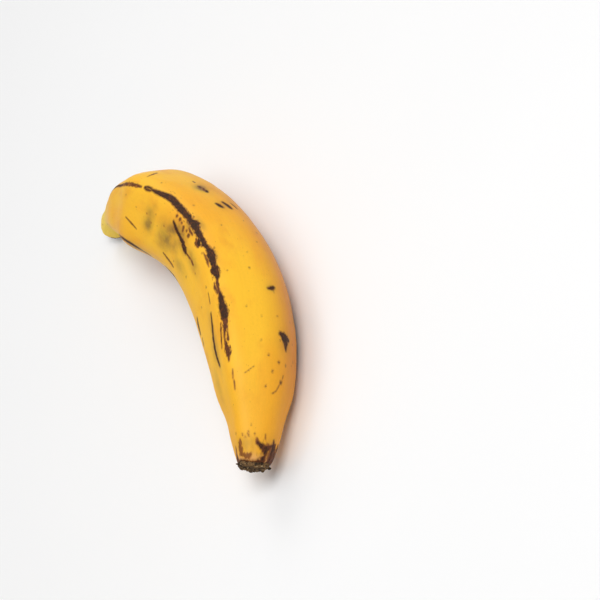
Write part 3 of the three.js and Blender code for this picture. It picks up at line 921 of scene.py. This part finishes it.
class PeelLayers:
    """The layers of the peel's look, which share its places, grains and marks."""

    def __init__(self, board, grain, stain, flecks):
        self.board = board
        self.stain = stain
        self.flecks = flecks
        self.place = board.attribute("straight", "Vector")
        split = board.node("ShaderNodeSeparateXYZ", {"Vector": self.place})
        self.along = split.outputs["X"]
        self.upward = split.outputs["Z"]
        self.tip = board.ramp(self.along, *TIP_STAINED)
        self.depth = {kind: board.attribute(f"{kind}_depth") for kind in (*STREAKS, "spot")}
        self.width = {kind: board.attribute(f"{kind}_width") for kind in STREAKS}
        self.grains = {}
        for name, (length, width, detail, shift) in PEEL_GRAINS.items():
            self.grains[name] = board.group(
                grain, Place=self.place, Length=length, Width=width, Detail=detail, Shift=shift
            )
        self.pores = self.dots(PORES)

    def dots(self, sizes):
        return self.board.group(self.flecks, Place=self.place, **sizes)

    def ripe(self):
        """Cloudy yellow, with a painted shade of deeper orange underneath, greener on the stalk and beige
        round the tip.
        """
        board = self.board
        mottle = self.grains["mottle"]
        colour = board.mix(board.ramp(self.grains["clouds"], 0.38, 0.68), YELLOW, DEEP_YELLOW)
        colour = board.tint(colour, ORANGE, board.ramp(mottle, 0.5, 0.78), 0.4)
        # painted shade: the underside is tinted deeper orange, as if it lay in shade
        colour = board.tint(colour, PAINTED_SHADE_ORANGE, board.ramp(self.upward, *PAINTED_SHADE_UNDERSIDE), 0.85)
        colour = board.tint(colour, STALK_YELLOW, board.ramp(self.along, *STALK_PALE), 0.85)
        colour = board.tint(colour, DEEP_YELLOW, self.tip, 0.55)
        dried = board.ramp(board.math("MULTIPLY_ADD", mottle, 9.0, self.along), *STALK_DRIED)
        colour = board.tint(colour, TAN, dried, 0.6)
        collar = board.ramp(board.math("MULTIPLY_ADD", mottle, -5.0, self.along), *TIP_COLLAR)
        return board.tint(colour, TIP_BEIGE, collar, 0.75)

    def bruised(self, colour):
        """Grey-green clouds where the fruit was knocked."""
        board = self.board
        cloud = self.grains["bruise"]
        bruised = board.math("MULTIPLY", board.attribute("bruise"),
                             board.ramp(cloud, 0.25, 0.75, 0.6, 1.15), clamp=True)
        return board.mix(bruised, colour, board.mix(board.ramp(cloud, 0.4, 0.62), OLIVE, GREY_BRUISE))

    def grained(self, colour):
        """Slightly lighter and darker by the fibres and the fine grain."""
        board = self.board
        shade = board.times(board.math("MULTIPLY_ADD", self.grains["fibres"], 0.08, 0.96),
                            board.math("MULTIPLY_ADD", self.grains["fine"], 0.12, 0.94))
        grey = board.node("ShaderNodeCombineColor", {"Red": shade, "Green": shade, "Blue": shade})
        return board.mix(1.0, colour, grey.outputs[0], "MULTIPLY")

    def speckled(self, colour):
        """Pores, freckles and a spray of flecks beside the wide streaks."""
        board = self.board
        colour = board.tint(colour, FRECKLE_BROWN, self.pores, 0.25)
        colour = board.tint(colour, FRECKLE_BROWN, self.dots(FRECKLES), 0.6)
        near_black = board.times(board.ramp(self.depth["black"], -3.2, -0.4),
                                 board.ramp(self.width["black"], 0.5, 1.4))
        near_rusty = board.times(board.ramp(self.depth["rusty"], -2.2, -0.3),
                                 board.ramp(self.width["rusty"], 0.8, 1.6))
        spray = board.times(self.dots(SPRAY), board.math("MAXIMUM", near_black, near_rusty))
        return board.tint(colour, FRINGE_BROWN, spray, 0.8)

    def marked(self, colour, depth, ragged, rim_tone, tone, soak):
        """The colour with a mark on it, which has a soft rim round its core, and the core's mask."""
        board = self.board
        (reach, rim_soft, rim_strength), (soft, strength), edge = soak
        rim = board.group(self.stain, Depth=board.math("ADD", depth, reach), Place=self.place,
                          Ragged=ragged, Soft=rim_soft, **edge)
        colour = board.tint(colour, rim_tone, rim, rim_strength)
        core = board.group(self.stain, Depth=depth, Place=self.place, Ragged=ragged, Soft=soft, **edge)
        return board.tint(colour, tone, core, strength), core

    def with_brown_stains(self, colour):
        board = self.board
        ragged = board.ramp(self.width["brown"], 0.2, 1.6, 0.15, 0.8)
        tone = board.mix(board.ramp(self.grains["fine"], 0.4, 0.62), SCORCHED, FRINGE_BROWN)
        tone = board.tint(tone, TAN, board.ramp(self.grains["patches"], 0.5, 0.68), 0.8)
        tone = board.tint(tone, TAN, self.tip, 0.35)
        return self.marked(colour, self.depth["brown"], ragged, TAN, tone, BROWN_SOAK)

    def with_spots(self, colour):
        depth = self.board.math("SUBTRACT", self.depth["spot"], SPOT_SHRINK)
        return self.marked(colour, depth, SPOT_RAGGED, TAN, SPOT_BROWN, SPOT_SOAK)

    def with_rusty_streaks(self, colour):
        board = self.board
        ragged = board.ramp(self.width["rusty"], 0.3, 1.4, 0.25, 1.1)
        tone = board.mix(board.ramp(self.grains["fine"], 0.4, 0.65), RUST_DARK, TIP_RUST)
        tone = board.tint(tone, STREAK_PURPLE, board.ramp(self.grains["patches"], 0.58, 0.72), 0.7)
        return self.marked(colour, self.depth["rusty"], ragged, TAN, tone, RUSTY_SOAK)

    def with_black_streaks(self, colour):
        """The streaks' edges wander by small lumps, less so on the half towards the stalk."""
        board = self.board
        width = self.width["black"]
        patches = self.grains["patches"]
        calm = board.ramp(self.along, *CALM_EDGES, 1.0, 0.35)
        wander = board.times(board.math("MULTIPLY_ADD", self.grains["lumps"], 1.8, -0.93),
                             board.ramp(width, 0.4, 1.9, 0.15, 1.0))
        depth = board.math("MULTIPLY_ADD", wander, calm, self.depth["black"])
        ragged = board.times(board.ramp(width, 0.4, 1.8, 0.2, 0.7), calm)
        tone = board.mix(board.ramp(self.grains["fine"], 0.45, 0.7), STREAK_BLACK, STREAK_RUST)
        tone = board.tint(tone, TIP_RUST, board.times(board.ramp(patches, 0.35, 0.6), self.tip), 0.7)
        tone = board.tint(tone, STREAK_PURPLE, board.ramp(patches, 0.58, 0.74), 0.8)
        return self.marked(colour, depth, ragged, FRINGE_BROWN, tone, BLACK_SOAK)

    def relief(self, dry):
        """Height of the fibres and the fine grain; pores and dry marks are sunk, and dry marks crackled."""
        board = self.board
        height = board.times(self.grains["fibres"], 0.04)
        height = board.math("ADD", height, board.times(self.grains["fine"], 0.035))
        height = board.math("SUBTRACT", height, board.times(self.pores, 0.03))
        height = board.math("SUBTRACT", height, board.times(dry, 0.05))
        crackle = board.times(self.grains["crackle"], dry)
        return board.math("ADD", height, board.times(crackle, 0.14))


def peel_material(grain, stain, flecks):
    """Ripe peel: cloudy yellow to orange, with fibres, pores, bruises, freckles, spots and dark streaks."""
    material, board, shader = new_material("ripe_peel")
    peel = PeelLayers(board, grain, stain, flecks)
    colour = peel.speckled(peel.grained(peel.bruised(peel.ripe())))
    colour, brown = peel.with_brown_stains(colour)
    colour = peel.with_spots(colour)[0]
    colour, rusty = peel.with_rusty_streaks(colour)
    colour, black = peel.with_black_streaks(colour)
    dry = board.math("MAXIMUM", black, board.times(board.math("MAXIMUM", brown, rusty), 0.7))
    rough = board.math("MULTIPLY_ADD", peel.grains["fine"], 0.14, 0.44)
    rough = board.math("ADD", rough, board.times(dry, 0.12))
    finish_shader(board, shader, colour, rough, 0.26)
    roughen(board, shader, peel.relief(dry), MM, 0.7)
    board.put(shader.inputs["Sheen Weight"], 0.05)
    board.put(shader.inputs["Sheen Roughness"], 0.35)
    board.put(shader.inputs["Sheen Tint"], SHEEN_TINT)
    return material


def scar_material(grain, flecks):
    """Dried flower remains: black-brown crust with beige-grey weathered crumbs."""
    material, board, shader = new_material("dried_crust")
    place = board.attribute("straight", "Vector")
    lumps = board.group(grain, Place=place, Length=1.6, Width=1.9, Detail=5.0, Shift=1.0)
    crumbs = board.group(flecks, Place=place, Spacing=1.1, Size=0.42, Stretch=1.0, Portion=0.45, Shift=3.0)
    colour = board.mix(board.ramp(lumps, 0.36, 0.62), CRUST_DARK, CRUST_BROWN)
    colour = board.tint(colour, CRUST_PALE, board.times(crumbs, board.ramp(lumps, 0.4, 0.6)), 0.9)
    finish_shader(board, shader, colour, 0.85, 0.3)
    fine = board.group(grain, Place=place, Length=0.5, Width=0.4, Detail=5.0, Shift=2.0)
    roughen(board, shader, fine, 0.35 * MM, 0.9)
    return material


def tear_material(grain):
    """Torn stalk: dark oxidised fibres with paler broken ends."""
    material, board, shader = new_material("torn_fibres")
    place = board.attribute("straight", "Vector")
    strands = board.group(grain, Place=place, Length=6.0, Width=0.5, Detail=4.0, Shift=1.0)
    blots = board.group(grain, Place=place, Length=3.0, Width=2.4, Detail=4.0, Shift=6.0)
    colour = board.mix(board.ramp(blots, 0.35, 0.65), TORN_DARK, TORN_BROWN)
    colour = board.tint(colour, TORN_PALE, board.ramp(strands, 0.5, 0.7), 0.6)
    finish_shader(board, shader, colour, 0.8, 0.3)
    roughen(board, shader, strands, 0.3 * MM, 0.9)
    return material


def floor_material():
    material, board, shader = new_material("pale_floor")
    place = board.node("ShaderNodeTexCoord").outputs["Object"]
    noise = board.node("ShaderNodeTexNoise", {"Vector": place, "Scale": 6.0, "Detail": 2.0})
    colour = board.mix(noise.outputs["Fac"], FLOOR_PALE, FLOOR_PALER)
    finish_shader(board, shader, colour, 0.9, 0.1)
    return material


def dress(piece, material):
    piece.data.materials.clear()
    piece.data.materials.append(material)
    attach(piece, "root")


# Studio

CAMERA_PLACE = (-0.8803, -0.2425, 0.7028)
CAMERA_TURN_DEGREES = (32.2, 41.59, -122.25)
CAMERA_LENS = 124.08
CAMERA_SENSOR = 36
CAMERA_REACH = 50
SOFTBOXES = {  # place, watts, size
    "key_softbox": ((-0.6, -0.5, 1.4), 11.5, 0.7),
    "top_softbox": ((-0.1, 0.2, 1.55), 7.5, 1.2),
    "back_softbox": ((1.2, -0.5, 1.0), 5, 0.8),
}
WORLD_WHITE = (1, 1, 1, 1)
WORLD_STRENGTH = 0.32
FLOOR_HALF = 4.0
FLOOR_CELLS = 4


def set_camera():
    bpy.ops.object.camera_add(
        location=CAMERA_PLACE, rotation=[math.radians(angle) for angle in CAMERA_TURN_DEGREES]
    )
    camera = bpy.context.object
    camera.data.lens = CAMERA_LENS
    camera.data.sensor_width = CAMERA_SENSOR
    camera.data.clip_end = CAMERA_REACH
    bpy.context.scene.camera = camera


def add_softbox(name, place, watts, size):
    """A square soft light that faces the fruit."""
    bpy.ops.object.light_add(type="AREA", location=place)
    light = bpy.context.object
    light.name = name
    light.data.energy = watts
    light.data.size = size
    aim = light.location.copy()
    light.rotation_euler = aim.to_track_quat("Z", "Y").to_euler()


def set_studio():
    select_only()
    bpy.ops.mesh.primitive_grid_add(
        x_subdivisions=FLOOR_CELLS, y_subdivisions=FLOOR_CELLS, size=2 * FLOOR_HALF
    )
    floor = bpy.context.object
    floor.name = "floor"
    floor.data.materials.append(floor_material())
    for name, (place, watts, size) in SOFTBOXES.items():
        add_softbox(name, place, watts, size)
    world = bpy.data.worlds.new("studio")
    world.use_nodes = True
    sky = world.node_tree.nodes["Background"]
    sky.inputs["Color"].default_value = WORLD_WHITE
    sky.inputs["Strength"].default_value = WORLD_STRENGTH
    bpy.context.scene.world = world
    bpy.context.scene.view_settings.view_transform = "Standard"
    bpy.context.scene.view_settings.look = "None"


grain = grain_group()
flecks = fleck_group()
stain = stain_group(grain)

line = middle_line()
peel = model_peel(line)
scar = model_scar(line)
tear = model_tear(line)
bpy.data.objects.remove(line)

dress(peel, peel_material(grain, stain, flecks))
dress(scar, scar_material(grain, flecks))
dress(tear, tear_material(grain))
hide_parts(NODE)

set_camera()
set_studio()
